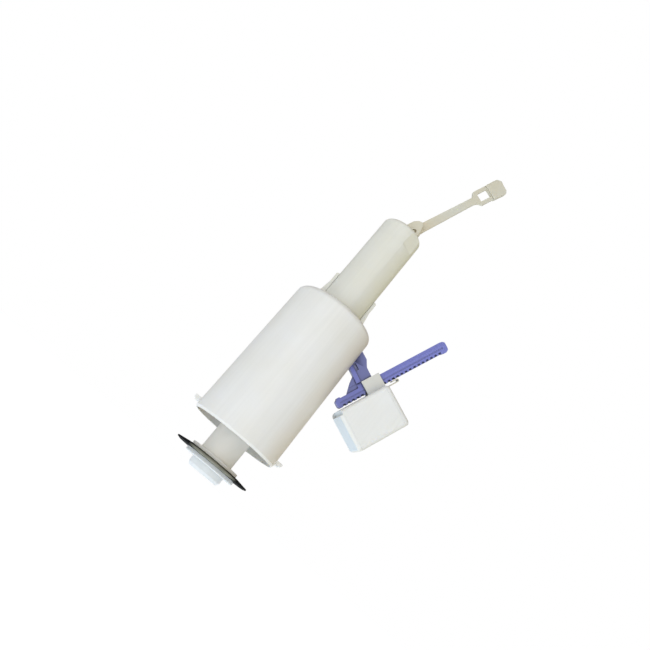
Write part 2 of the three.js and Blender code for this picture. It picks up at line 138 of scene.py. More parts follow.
TAB = {"end": 96.6, "half": 7.2, "thick": 2.6, "shift": 0.3, "corner": 3.4, "tongue": 5.5, "tongue_end": 92.0}
HUB = {"r": 3.1, "half": 2.6}
WEB = {"half": 1.1, "rib": 2.3}
POCKET = {"near": 5.8, "far": 11.4, "low": 1.9, "high": 4.2, "floor": 0.9}
RAIL = {"x": 26.5, "half": 4.3, "low": -24.7, "high": 76.7, "thick": 3.0, "narrow_z": -4.0, "narrow": 1.6}
RACK = {"pitch": 4.0, "depth": 1.6, "first": -21.0, "count": 23, "gap": 3.0, "slant": 0.5,
        "spine": 0.7, "recess": 0.4}
GROOVE = {"shift": 0.6, "half": 0.5, "depth": 0.25, "low": 3.0, "high": 4.0}
SLOPE = {"width": 3.2, "sunk": 0.9}
TOOTH = {"tip": -10.5, "low": 5.0, "high": 8.9}
CUP = {"x": 31.8, "width": 33.6, "low": -29.4, "length": 45.2, "depth": 14.4, "wall": 1.5, "round": 3.0}
STEP = {"low": 2.9, "high": 3.7, "depth": 0.12}
NOTCH = {"width": 3.8, "height": 2.8}
LID = {"thick": 3.6, "plug": 2.0, "wall": 1.4}
CLIP = {"low": 0.2, "high": 15.8, "lip_low": 3.2, "arm": 1.5, "hook": 1.5, "lip": 1.4}
LATCH = {"half": 3.2, "thick": 0.8, "x": 33.9, "turn": 1.4, "reach": 12.0, "back": 4.0}

# Outline points about a pin: across, along, and the corner's radius.
CLEVIS_EAR = [(-7.7, 0.7, 4), (-5.5, 6.3, 3), (-2.5, 9.6, 3), (1.3, 10.9, 1.5), (3.1, 8.3, 2), (4.5, 2.7, 3)]
WEB_LOWER_EDGE = [(17.6, -7.7, 6), (13.7, -2.6, 1), (0, -2.6, 0)]
WEB_UPPER_EDGE = [(-1.2, 13.6, 1), (7.3, 13.6, 3), (12.9, 10.6, 5)]
WEB_FOOT = (-14.6, 10.4)        # where the web's edges meet the rail
RIB_LOWER_EDGE = [(0, -2.6), (12, -2.6, 8)]
RIB_UPPER_EDGE = [(14, 0.8, 8), (0, 1.6)]
RIB_FOOT = (-3.6, 0.4)          # where the rib's edges meet the rail


# ---------------------------------------------------------------- shape helpers
def arc(x, z, radius, start, end, steps=10):
    """Points of an arc in an outline's plane, from one angle to another, in degrees."""
    angles = [math.radians(start + (end - start) * i / steps) for i in range(steps + 1)]
    return [(x + radius * math.cos(a), z + radius * math.sin(a)) for a in angles]


def rounded(outline, radius=EDGE, steps=4):
    """The closed outline with its corners turned into arcs. A point may carry its own radius."""
    result = []
    straight = math.radians(81)
    for i, point in enumerate(outline):
        corner = Vector(point[:2])
        before = Vector(outline[i - 1][:2]) - corner
        after = Vector(outline[(i + 1) % len(outline)][:2]) - corner
        wanted = point[2] if len(point) > 2 else radius
        half = before.angle(after) / 2
        if wanted <= 0 or half > straight:
            result.append(tuple(corner))
            continue
        reach = min(wanted / math.tan(half), 0.45 * before.length, 0.45 * after.length)
        real = reach * math.tan(half)
        way = (before.normalized() + after.normalized()).normalized()
        centre = corner + way * real / math.sin(half)
        first = corner + before.normalized() * reach - centre
        last = corner + after.normalized() * reach - centre
        begin = math.atan2(first.y, first.x)
        sweep = (math.atan2(last.y, last.x) - begin + math.pi) % (2 * math.pi) - math.pi
        for k in range(steps + 1):
            angle = begin + sweep * k / steps
            result.append((centre.x + real * math.cos(angle), centre.y + real * math.sin(angle)))
    return result


def turned(outline, segments=144):
    """A closed outline of (radius, height) points turned about Z."""
    shape = bmesh.new()
    turns = [2 * math.pi * k / segments for k in range(segments)]
    rings = []
    for radius, height in outline:
        if radius < 1e-6:
            rings.append([shape.verts.new((0, 0, height))])
        else:
            ring = [(radius * math.cos(a), radius * math.sin(a), height) for a in turns]
            rings.append([shape.verts.new(point) for point in ring])
    for i, ring in enumerate(rings):
        following = rings[(i + 1) % len(rings)]
        for k in range(segments):
            pair = (ring[k % len(ring)], ring[(k + 1) % len(ring)])
            next_pair = (following[(k + 1) % len(following)], following[k % len(following)])
            face = list(dict.fromkeys(pair + next_pair))
            if len(face) > 2:
                shape.faces.new(face)
    bmesh.ops.recalc_face_normals(shape, faces=shape.faces)
    return shape


def lofted(first, last, bevel=0.0, steps=3):
    """A solid between two flat loops of as many points, with its end edges rounded."""
    shape = bmesh.new()
    one = [shape.verts.new(p) for p in first]
    two = [shape.verts.new(p) for p in last]
    caps = [shape.faces.new(one), shape.faces.new(two[::-1])]
    for i in range(len(one)):
        shape.faces.new((one[i - 1], one[i], two[i], two[i - 1]))
    bmesh.ops.recalc_face_normals(shape, faces=shape.faces)
    if bevel > 0:
        rims = list({edge for cap in caps for edge in cap.edges})
        bmesh.ops.bevel(shape, geom=rims, offset=bevel, segments=steps, profile=0.5, affect="EDGES",
                        clamp_overlap=True)
    return shape


def plate(outline, half, bevel=0.0, y=0.0):
    """An outline in the XZ plane, given thickness in Y about the plane y."""
    return lofted([(x, y - half, z) for x, z in outline], [(x, y + half, z) for x, z in outline], bevel)


def column(outline, low, high, bevel=0.0):
    """An outline in the XY plane, from one height to another."""
    return lofted([(x, y, low) for x, y in outline], [(x, y, high) for x, y in outline], bevel)


def block(x, y, z, radius=0.0, steps=3):
    """A block between pairs of limits, with every edge rounded."""
    shape = column([(x[0], y[0]), (x[1], y[0]), (x[1], y[1]), (x[0], y[1])], z[0], z[1])
    if radius > 0:
        bmesh.ops.bevel(shape, geom=shape.edges[:], offset=radius, segments=steps, profile=0.5,
                        affect="EDGES", clamp_overlap=True)
    return shape


def moved(shape, matrix):
    """The same shape, carried by a matrix."""
    bmesh.ops.transform(shape, matrix=matrix, verts=shape.verts)
    return shape


def pin(radius, half, x, z, end=EDGE):
    """A round pin along Y with rounded ends."""
    outline = rounded([(0, -half, 0), (radius, -half, end), (radius, half, end), (0, half, 0)])
    upright = turned(outline, 64)
    return moved(upright, Matrix.Translation((x, 0, z)) @ Matrix.Rotation(math.pi / 2, 4, "X"))


def as_object(shape):
    """Turns a shape into a passing object, which the boolean steps need."""
    mesh = bpy.data.meshes.new("shape")
    shape.to_mesh(mesh)
    shape.free()
    made = bpy.data.objects.new("shape", mesh)
    bpy.context.scene.collection.objects.link(made)
    return made


def combined(operation, first, *others):
    """The first shape joined to, cut by or crossed with the others, as one closed shape."""
    base = as_object(first)
    tools = [as_object(other) for other in others]
    for tool in tools:
        step = base.modifiers.new("step", "BOOLEAN")
        step.operation = operation
        step.solver = "EXACT"
        step.object = tool
    graph = bpy.context.evaluated_depsgraph_get()
    mesh = bpy.data.meshes.new_from_object(base.evaluated_get(graph))
    result = bmesh.new()
    result.from_mesh(mesh)
    for used in [base, *tools]:
        old = used.data
        bpy.data.objects.remove(used)
        bpy.data.meshes.remove(old)
    bpy.data.meshes.remove(mesh)
    bmesh.ops.remove_doubles(result, verts=result.verts, dist=1e-4)
    bmesh.ops.dissolve_degenerate(result, dist=1e-4, edges=result.edges)
    return result


# ---------------------------------------------------------------- materials
def add(tree, kind, inputs=None, **settings):
    """One shader node; an input is a value, or an output socket to link to it."""
    made = tree.nodes.new(kind)
    for key, value in settings.items():
        setattr(made, key, value)
    for key, value in (inputs or {}).items():
        if isinstance(value, bpy.types.NodeSocket):
            tree.links.new(value, made.inputs[key])
        else:
            made.inputs[key].default_value = value
    return made


def mixed(tree, factor, first, second, blend="MIX"):
    """Colour output of a mix; its sockets are found by place because their names repeat."""
    return add(tree, "ShaderNodeMix", {0: factor, 6: first, 7: second}, data_type="RGBA",
               blend_type=blend).outputs[2]


def ranged(tree, value, low, high, to_low, to_high):
    """A value moved from one range to another, and held inside it."""
    return add(tree, "ShaderNodeMapRange", {"Value": value, "From Min": low, "From Max": high,
                                            "To Min": to_low, "To Max": to_high}).outputs["Result"]


def clouds(tree, place, scale, detail=3.0, stretch=(1, 1, 1)):
    """Noise at so many waves a metre, drawn out along an axis where stretch is small."""
    spot = add(tree, "ShaderNodeMapping", {"Vector": place, "Scale": stretch}).outputs["Vector"]
    return add(tree, "ShaderNodeTexNoise", {"Vector": spot, "Scale": scale, "Detail": detail}).outputs["Fac"]


def rgba(colour):
    """A colour with full alpha, as the sockets want it."""
    return (*colour, 1.0)


def moulded(name, colour, aged, grime_and_shade, roughness, crevice_shade=0.35, subsurface=0.12, edge_wear_and_highlight=None,
            stains_and_shading=(), mid_shade=None, gap_shade=None):
    """Injection-moulded plastic: slow yellowing, draw streaks, painted shade in the corners, a fine grain.

    A stain is (coordinates, direction, where it starts, where it is full, strength, colour), and many are
    painted light and painted shade; the mid shade is painted shade by distance from the XZ plane. Lighter
    edges are rubbed and partly a painted highlight, and painted shade fills tight gaps.
    """
    material = bpy.data.materials.new(name)
    material.use_nodes = True
    tree = material.node_tree
    shader = tree.nodes["Principled BSDF"]
    finder = add(tree, "ShaderNodeTexCoord")
    place = finder.outputs["Object"]
    slow = clouds(tree, place, 26.0, 2.0)
    streaks = clouds(tree, place, 420.0, 3.0, (1, 1, 0.03))
    speckle = clouds(tree, place, 900.0, 5.0)
    grains = clouds(tree, place, 1400.0, 4.0)
    waves = clouds(tree, place, 45.0, 2.0)

    age = ranged(tree, slow, 0.35, 0.68, 0.0, 0.7)
    base = mixed(tree, age, rgba(colour), rgba(aged))
    shade = ranged(tree, streaks, 0.3, 0.7, 0.975, 1.01)
    base = mixed(tree, 1.0, base, shade, "MULTIPLY")
    fleck = ranged(tree, speckle, 0.62, 0.74, 0.0, 0.06)
    base = mixed(tree, fleck, base, rgba(grime_and_shade))
    # each entry tints by facing or by place: some are stains, many are painted light and painted shade
    for source, way, none, full, strength, tone in stains_and_shading:
        value = add(tree, "ShaderNodeVectorMath", {0: finder.outputs[source], 1: way},
                    operation="DOT_PRODUCT").outputs["Value"]
        base = mixed(tree, ranged(tree, value, none, full, 0.0, strength), base, rgba(tone))
    # painted shade by distance from the XZ plane
    if mid_shade:
        none, full, strength, tone = mid_shade
        side = add(tree, "ShaderNodeSeparateXYZ", {0: place}).outputs["Y"]
        side = add(tree, "ShaderNodeMath", {0: side}, operation="ABSOLUTE").outputs[0]
        base = mixed(tree, ranged(tree, side, none, full, 0.0, strength), base, rgba(tone))
    # painted shade: darker towards the grime colour in corners and recesses, by ambient occlusion
    hollow = add(tree, "ShaderNodeAmbientOcclusion", {"Distance": 0.008}, samples=8).outputs["AO"]
    base = mixed(tree, ranged(tree, hollow, 0.25, 0.9, crevice_shade, 0.0), base, rgba(grime_and_shade))
    # painted shade: near black in tight gaps, such as between the rack's teeth
    if gap_shade:
        tight = add(tree, "ShaderNodeAmbientOcclusion", {"Distance": 0.0019}, samples=6).outputs["AO"]
        base = mixed(tree, ranged(tree, tight, 0.45, 0.92, 0.95, 0.0), base, rgba(gap_shade))
    # lighter convex edges: rubbed, and a painted highlight
    if edge_wear_and_highlight:
        edge = add(tree, "ShaderNodeAmbientOcclusion", {"Distance": 0.0007}, samples=6,
                   inside=True).outputs["AO"]
        worn_and_highlit = ranged(tree, edge, 0.25, 0.6, 0.55, 0.0)
        base = mixed(tree, worn_and_highlit, base, rgba(edge_wear_and_highlight))
    tree.links.new(base, shader.inputs["Base Color"])

    gloss = ranged(tree, streaks, 0.3, 0.7, roughness - 0.05, roughness + 0.07)
    tree.links.new(gloss, shader.inputs["Roughness"])
    swell = add(tree, "ShaderNodeBump", {"Height": waves, "Strength": 0.5, "Distance": 0.0002})
    skin = add(tree, "ShaderNodeBump", {"Height": grains, "Normal": swell.outputs["Normal"],
                                        "Strength": 0.5, "Distance": 0.00002})
    tree.links.new(skin.outputs["Normal"], shader.inputs["Normal"])
    shader.inputs["Subsurface Weight"].default_value = subsurface
    shader.inputs["Subsurface Radius"].default_value = (1.0, 0.85, 0.6)
    shader.inputs["Subsurface Scale"].default_value = 0.002
    shader.inputs["IOR"].default_value = 1.5
    return material


def rubber(name):
    """Black seal rubber, dusty, with a patchy painted highlight on its front edge."""
    material = bpy.data.materials.new(name)
    material.use_nodes = True
    tree = material.node_tree
    shader = tree.nodes["Principled BSDF"]
    place = add(tree, "ShaderNodeTexCoord").outputs["Object"]
    patches = clouds(tree, place, 110.0, 4.0)
    specks = clouds(tree, place, 1300.0, 3.0)
    way = add(tree, "ShaderNodeSeparateXYZ", {0: place}).outputs["Y"]
    # painted highlight: lighter on the front edge, the side towards -Y, in patches
    highlight_full, highlight_none = -0.0275, -0.0235
    front_highlight = ranged(tree, way, highlight_full, highlight_none, 1.0, 0.0)
    dust = ranged(tree, patches, 0.38, 0.7, 0.02, 0.2)
    base = mixed(tree, dust, (0.004, 0.004, 0.005, 1), (0.03, 0.03, 0.028, 1))
    base = mixed(tree, ranged(tree, specks, 0.6, 0.75, 0.0, 0.05), base, (0.2, 0.2, 0.17, 1))
    patchy_highlight = add(tree, "ShaderNodeMath", {0: front_highlight, 1: ranged(tree, patches, 0.3, 0.6, 0.5, 0.85)},
                operation="MULTIPLY").outputs[0]
    base = mixed(tree, patchy_highlight, base, (0.31, 0.31, 0.25, 1))
    tree.links.new(base, shader.inputs["Base Color"])
    gloss = ranged(tree, patches, 0.3, 0.7, 0.62, 0.8)
    tree.links.new(gloss, shader.inputs["Roughness"])
    shader.inputs["Specular IOR Level"].default_value = 0.04
    skin = add(tree, "ShaderNodeBump", {"Height": specks, "Strength": 0.6, "Distance": 0.00004})
    tree.links.new(skin.outputs["Normal"], shader.inputs["Normal"])
    return material


def lever_way(x, z, distance=0.0):
    """A direction in the lever's own frame, and where the distance along it from the pin falls."""
    way = LEVER_PLACE.to_3x3() @ Vector((x, 0, z))
    return way, (LEVER_PIVOT.dot(way) + distance) * MM


ACROSS_RAIL, CLIP_EDGE = lever_way(1, 0, CUP["x"] - 0.6)
UP_RAIL, FINGER_FOOT = lever_way(0, 1, CUP["low"] + CUP["length"] + 0.5)
TOWARDS_LEVER = (1, 0, 0)
UPWARDS = (0, 0, 1)
MATERIALS = {
    "shell_plastic": moulded(
        "shell_plastic", (0.83, 0.83, 0.82), (0.80, 0.79, 0.74), (0.62, 0.60, 0.51), 0.36,
        # painted warm shade on the side that faces the lever
        stains_and_shading=[("Normal", TOWARDS_LEVER, 0.55, 1.0, 0.95, (0.74, 0.68, 0.57))]),
    "riser_plastic": moulded(
        "riser_plastic", (0.77, 0.77, 0.72), (0.74, 0.73, 0.64), (0.55, 0.52, 0.40), 0.33,
        # painted warm shade towards the lever, painted light at the foot under the bell against its shade,
        # browner on top of the cap
        stains_and_shading=[("Normal", TOWARDS_LEVER, 0.35, 1.0, 0.9, (0.78, 0.76, 0.58)),
                ("Object", UPWARDS, 0.040, 0.026, 0.9, (0.93, 0.91, 0.86)),
                ("Object", UPWARDS, 0.236, 0.240, 0.85, (0.66, 0.62, 0.49))]),
    "bright_plastic": moulded(
        "bright_plastic", (0.81, 0.82, 0.84), (0.77, 0.79, 0.78), (0.56, 0.57, 0.53), 0.32),
    "seal_rubber": rubber("seal_rubber"),
    "rod_plastic": moulded(
        "rod_plastic", (0.64, 0.63, 0.55), (0.62, 0.57, 0.43), (0.42, 0.38, 0.27), 0.42, crevice_shade=0.25,
        # browner down towards its pin
        stains_and_shading=[("Object", UPWARDS, 0.280, 0.250, 0.85, (0.64, 0.57, 0.41))]),
    "lever_plastic": moulded(
        "lever_plastic", (0.19, 0.21, 0.60), (0.178, 0.196, 0.51), (0.15, 0.16, 0.27), 0.40,
        crevice_shade=0.6, subsurface=0.05, edge_wear_and_highlight=(0.36, 0.38, 0.62), gap_shade=(0.02, 0.02, 0.07),
        # painted shade makes the thin web duller than the rib and the rail
        mid_shade=((WEB["half"] + 0.5) * MM, (WEB["half"] + 0.15) * MM, 0.5, (0.14, 0.155, 0.28))),
    "float_plastic": moulded(
        "float_plastic", (0.83, 0.84, 0.84), (0.80, 0.80, 0.76), (0.35, 0.39, 0.43), 0.33, crevice_shade=0.6,
        # painted bluish light on the underside, painted shade on the end wall and the clip, and browner
        # painted shade on the latch finger
        stains_and_shading=[("Normal", -UP_RAIL, 0.8, 0.99, 0.9, (0.60, 0.70, 0.79)),
                ("Normal", ACROSS_RAIL, 0.2, 0.95, 0.9, (0.72, 0.71, 0.64)),
                ("Object", ACROSS_RAIL, CLIP_EDGE + 0.0003, CLIP_EDGE, 0.9, (0.71, 0.71, 0.67)),
                ("Object", UP_RAIL, FINGER_FOOT, FINGER_FOOT + 0.0004, 0.9, (0.62, 0.58, 0.46))]),
}


def piece(node, shape, place=None):
    """Scales a finished shape to metres and puts it in the frame for its CAD node."""
    if place:
        moved(shape, place)
    moved(shape, Matrix.Scale(MM, 4))
    mesh = bpy.data.meshes.new(node + "_moulding")
    shape.to_mesh(mesh)
    shape.free()
    mesh.polygons.foreach_set("use_smooth", [True] * len(mesh.polygons))
    mesh.set_sharp_from_angle(angle=math.radians(40))
    mesh.materials.append(MATERIALS[SLOT_OF[node]])
    made = bpy.data.objects.new(node + "_moulding", mesh)
    bpy.context.scene.collection.objects.link(made)
    even = made.modifiers.new("even_normals", "WEIGHTED_NORMAL")
    even.keep_sharp = True
    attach(made, BODY_OF[node])
    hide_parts(node)
    return made


# ---------------------------------------------------------------- housing
def bell_shape():
    """The bell with its rounded shoulder, lock lugs at the rim, and the lever's window."""
    rim_r, rim_z, top_z = BELL_HIGH.y, BELL_LOW.z, BELL_HIGH.z
    wall, lip, shoulder = BELL["wall"], BELL["lip"], BELL["shoulder"]
    bend_r, bend_z = rim_r - BELL["draft"] - shoulder, top_z - shoulder
    shell = turned(rounded([
        (rim_r - wall, rim_z), (rim_r - lip, rim_z), (rim_r, rim_z + 2 * lip),
        *arc(bend_r, bend_z, shoulder, 0, 90, 14),
        (BELL["hole"], top_z), (BELL["hole"], top_z - wall),
        *arc(bend_r, bend_z, shoulder - wall, 90, 0, 10),
    ]), 192)
    lugs = []
    for side in (1, -1):
        outline = [
            (side * (rim_r - 1), LUG["low"]), (side * (BELL_HIGH.x - LUG["bevel"]), LUG["low"]),
            (side * BELL_HIGH.x, LUG["low"] + LUG["bevel"] / 2), (side * BELL_HIGH.x, LUG["high"]),
            (side * (rim_r - 1), LUG["high"]),
        ]
        lugs.append(plate(rounded(outline, 0.5), LUG["half"], 0.5))
    opening = block((WINDOW["near"], WINDOW["far"]), (-WINDOW["half"], WINDOW["half"]),
                    (WINDOW["low"], WINDOW["high"]), 0.8)
    return combined("DIFFERENCE", combined("UNION", shell, *lugs), opening)


def guide_shape():
    """The ring in the bell's neck, with its skirt, flange and two upright ears."""
    bore, skirt = GUIDE["bore"], GUIDE["skirt"]
    low, seat, top = GUIDE_LOW.z, BELL_HIGH.z + GAP, GUIDE_HIGH.z
    flange = GUIDE_HIGH.y
    ring = turned(rounded([
        (bore, low), (skirt, low), (skirt, seat), (flange, seat), (flange - 0.8, seat + GUIDE["thick"]),
        (bore, seat + GUIDE["thick"]),
    ]), 144)
    ears = []
    for side in (1, -1):
        tip, foot = EAR["tip"], EAR["foot"]
        outline = [(side * x, z, r) for x, z, r in [
            (bore - 1, seat + 1, 0), (foot, seat + 1, 0), (foot - 1.8, EAR["waist_z"], 3),
            (tip + 0.8, EAR["bend_z"], 4), (tip, EAR["straight_z"], 6), (tip, top - 1, 1),
            (tip - 0.8, top, 0.6), (bore - 1, top, 0),
        ]]
        ears.append(plate(rounded(outline), EAR["half"], 0.4))
    bored = turned([(0, low - 1), (bore, low - 1), (bore, top + 1), (0, top + 1)], 144)
    return combined("DIFFERENCE", combined("UNION", ring, *ears), bored)


def bracket_shape():
    """The saddle behind the window, whose cheeks carry the lever's pin."""
    x, z = LEVER_PIVOT.x, LEVER_PIVOT.z
    front, bottom, top = BRACKET_LOW.x, BRACKET_LOW.z, BRACKET_HIGH.z
    nose, end, heel = SADDLE["nose"], SADDLE["end"], SADDLE["heel"]
    cheek = plate(rounded([
        (front, z - nose), (front, z + nose), (x, top), (end, top, 0), (end, bottom, 0), (heel, bottom),
        (heel, WINDOW["low"] - 2),
    ], 1.0), BRACKET_HIGH.y, 0.4)
    between = block((20, 40), (-SADDLE["between"], SADDLE["between"]), (WINDOW["low"] - GAP, top + 1), 0.5)
    inside = BELL_HIGH.y - BELL["draft"] - BELL["wall"] - GAP
    core = turned([(0, bottom - 1), (inside, bottom - 1), (inside, top + 1), (0, top + 1)], 192)
    whole = combined("DIFFERENCE", cheek, between, pin(PIN_HOLE, THROUGH, x, z))
    return combined("INTERSECT", whole, core)


# ---------------------------------------------------------------- valve stem
def tube_shape():
    """The lower tube: a spigot through the washer, a flange on it, and the bore's step."""
    r, bore, spigot, throat = TUBE["r"], TUBE["bore"], TUBE["spigot"], TUBE["spigot_bore"]
    seat = SEAL_HIGH.z - SQUEEZE
    top = SEAL_HIGH.z + GAP + TUBE["flange"]
    flange = TUBE_HIGH.x
    return turned(rounded([
        (throat, TUBE_LOW.z), (spigot, TUBE_LOW.z), (spigot, seat), (flange, seat, 0.5), (flange, top, 0.5),
        (r, top, 1.2), (r, TUBE_HIGH.z), (bore, TUBE_HIGH.z), (bore, seat + 2), (throat, seat),
    ]), 128)


def washer_shape():
    """The flat seal, with a raised sealing land on its underside and a lip that thins to its edge."""
    r, land, drop, top = SEAL_HIGH.x, SEAL["land"], SEAL["drop"], SEAL_HIGH.z - SQUEEZE
    return turned(rounded([
        (SEAL["hole"], drop, 0.1), (land - drop, drop, 0.3), (land, 0, 0.3), (SEAL["land_end"], 0, 3),
        (r, SEAL["lip_low"], 0.4), (r, SEAL["lip_high"], 0.4), (SEAL["taper"], top, 4), (SEAL["hole"], top),
    ]), 192)


def disc_shape():
    """The disc that holds the washer up against the flange."""
    return turned(rounded([
        (SEAL["hole"], DISC_LOW.z), (DISC_HIGH.x, DISC_LOW.z, 0.9), (DISC_HIGH.x, DISC_HIGH.z),
        (SEAL["hole"], DISC_HIGH.z),
    ]), 144)


def nut_shape():
    """The chamfered boss under the disc."""
    r = NUT_HIGH.x
    return turned(rounded([
        (SEAL["hole"], NUT_LOW.z), (r - NUT["chamfer"], NUT_LOW.z, 0.6),
        (r, NUT_LOW.z + NUT["chamfer_high"], 0.8), (r, DISC_LOW.z, 0),
        (SEAL["hole"], DISC_LOW.z, 0),
    ]), 144)


def inner_float_shape():
    """The upturned cup that traps air and keeps the lifted stem up."""
    r, low, high, wall = INNER_HIGH.x, INNER_LOW.z, INNER_HIGH.z, INNER["wall"]
    hub = TUBE["r"] + GAP
    return turned(rounded([
        (hub, high - INNER["hub"]), (hub + wall, high - INNER["hub"]), (hub + wall, high - wall, 1.0),
        (r - wall, high - wall, 1.0), (r - wall, low), (r, low), (r, high, 1.8), (hub, high),
    ]), 144)


def lock_ring_shape():
    """The ring that holds the inner float, with finger notches round it."""
    bore, r = TUBE["r"] + GAP, LOCK_HIGH.x
    ring = turned(rounded([(bore, LOCK_LOW.z), (r, LOCK_LOW.z, 0.5), (r, LOCK_HIGH.z, 0.5),
                           (bore, LOCK_HIGH.z)]), 144)
    notches = []
    cut, count = NOTCHES["r"], NOTCHES["count"]
    for k in range(count):
        turn = 2 * math.pi * k / count
        way = Vector((math.cos(turn), math.sin(turn), 0)) * (r + NOTCHES["out"])
        round_cut = turned([(0, LOCK_LOW.z - 1), (cut, LOCK_LOW.z - 1), (cut, LOCK_HIGH.z + 1),
                            (0, LOCK_HIGH.z + 1)], 40)
        notches.append(moved(round_cut, Matrix.Translation(way)))
    return combined("DIFFERENCE", ring, *notches)


def riser_shape():
    """The overflow riser, socketed on the valve tube, with its inlet slots at the back."""
    r, top_r, wall, low, top = RISER_HIGH.x, RISER["top"], RISER["wall"], RISER_LOW.z, RISER_HIGH.z
    bore = TUBE["r"] + GAP
    step = low + RISER["socket"]
    pipe = turned(rounded([
        (bore, low), (r, low, 0.8), (top_r, top, 0), (top_r - wall, top), (r - wall, step), (bore, step),
    ]), 160)
    slots = []
    for k in range(SLOT["count"]):
        turn = math.radians((k - (SLOT["count"] - 1) / 2) * SLOT["step"])
        half, low_z, high_z = SLOT["half"], SLOT["low"], SLOT["high"]
        outline = arc(0, high_z - half, half, 0, 180) + arc(0, low_z + half, half, 180, 360)
        cutter = plate(outline, 5, y=r)
        slots.append(moved(cutter, Matrix.Rotation(turn, 4, "Z")))
    return combined("DIFFERENCE", pipe, facet_cutter(), *slots)


def seal_ring_shape():
    """The O-ring in the riser's socket."""
    section = (RING_HIGH.z - RING_LOW.z) / 2
    middle = (RING_HIGH.x + TUBE["r"] + GAP) / 2
    return turned(arc(middle, RING_LOW.z + section, section, 0, 345, 23), 128)


def collar_shape():
    """The collar under which the lever's catch reaches."""
    bore = RISER_HIGH.x + GAP
    return turned(rounded([
        (bore, COLLAR_LOW.z), (COLLAR_HIGH.x, COLLAR_LOW.z), (COLLAR_HIGH.x, COLLAR_HIGH.z, 1.0),
        (bore, COLLAR_HIGH.z),
    ]), 144)


def facet_cutter():
    """Takes a shallow flat off one side of the cap; it runs out down the riser."""
    outside, above = RISER_HIGH.x + 6, CAP["top"] + 3
    cutter = plate(rounded([
        (FACET["high"], above, 0), (FACET["low"], FACET["turn"], 14),
        (RISER["top"] + 0.3, FACET["end"], 0), (outside, FACET["end"], 0), (outside, above, 0),
    ], steps=8), 20)
    return moved(cutter, Matrix.Rotation(math.radians(FACET["azimuth"]), 4, "Z"))


def cap_shape():
    """The riser's cap: a rounded end, a plug inside, and the clevis that the rod leans in."""
    top, bend, wall = CAP["top"], CAP["round"], CAP["wall"]
    seat, top_r = RISER_HIGH.z, RISER["top"]
    plug = top_r - RISER["wall"] - GAP
    shell = turned(rounded([
        (0, top - wall, 0), (top_r - bend, top - wall, 2), (plug - wall, top - bend - wall, 1),
        (plug - wall, CAP_LOW.z), (plug, CAP_LOW.z), (plug, seat, 0), (top_r, seat, 0),
        *arc(top_r - bend, top - bend, bend, 0, 90, 12), (0, top, 0),
    ]), 160)
    x, z = ROD_PIVOT.x, ROD_PIVOT.z
    foot = top - 1
    ears = plate(rounded([
        (x + CLEVIS_FOOT[0], foot, 0), *((x + across, z + along, r) for across, along, r in CLEVIS_EAR),
        (x + CLEVIS_FOOT[1], foot, 0),
    ]), CLEVIS["outer"], 0.5)
    between = block((-20, 30), (-CLEVIS["inner"], CLEVIS["inner"]), (top, z + 20))
    ears = combined("DIFFERENCE", ears, between, pin(PIN_HOLE, 20, x, z))
    near = ROD["root"] + GAP
    stop = plate(rounded([
        (near, CLEVIS["stop_low"], 0), (near + CLEVIS["stop"], CLEVIS["stop_low"], 0),
        (near + CLEVIS["stop"], CLEVIS["stop_top"], 0.4), (near, CLEVIS["stop_top"], 0.4),
    ]), CLEVIS["inner"] + CLEVIS["bite"])
    moved(stop, ROD_PLACE)
    return combined("UNION", combined("DIFFERENCE", shell, facet_cutter()), ears, stop)


# ---------------------------------------------------------------- pull rod, about its pin
def rod_shape():
    """The flat rod: a thick knuckle at the pin, a slight waist, the square eye and the tab's tongue."""
    knuckle, root, neck, taper = ROD["knuckle"], ROD["root"], ROD["neck"], ROD["taper"]
    foot = arc(0, 0, knuckle, 160, 340, 16)
    start, half, end = EYE["start"], EYE["half"], EYE["high"]
    tongue, tip = TAB["tongue"], TAB["tongue_end"]
    bar = plate(rounded([
        *foot, (root, 0, 0), (root, taper, 3), (neck, start - 3, 8), (half - 2.5, start, 1.5),
        (half, start + 2.4, 1.2), (half, end), (tongue, end, 0.2), (tongue, tip), (-tongue, tip),
        (-tongue, end, 0.2), (-half, end), (-half, start + 1.4, 0.8), (-half + 1.4, start, 0.8),
        (-neck, start - 2, 1), (-root, taper, 3),
    ]), ROD["half"], 0.45)
    thick = plate(rounded([*foot, (root, 0, 0), (root, 9), (-root, 9)]), ROD["knuckle_half"], 0.4)
    eye = block((-EYE["hole"], EYE["hole"]), (-9, 9), (EYE["low"], EYE["high"]), 0.5)
    return combined("DIFFERENCE", combined("UNION", bar, thick), eye, pin(PIN_HOLE, THROUGH, 0, 0))


def tab_shape():
    """The thick finger tab pushed over the rod's tongue."""
    shift, half, end, corner = TAB["shift"], TAB["half"], TAB["end"], TAB["corner"]
    low, reach = EYE["high"] + GAP, TAB["tongue"] + GAP
    outline = [
        (shift - half, low, 0.5), (shift + half, low, 0.5), (shift + half + 0.5, end - corner + 0.4, 1.4),
        (shift + half - corner + 1.4, end - 0.8, 1.2), (shift + 0.6, end - 0.8, 1.0),
        (shift - half + corner, end, 1.4), (shift - half, end - corner, 1.4),
    ]
    socket = block((-reach, reach), (-ROD["half"] - GAP, ROD["half"] + GAP),
                   (low - 1, TAB["tongue_end"] + GAP))
    return combined("DIFFERENCE", plate(rounded(outline), TAB["thick"], 0.7), socket)


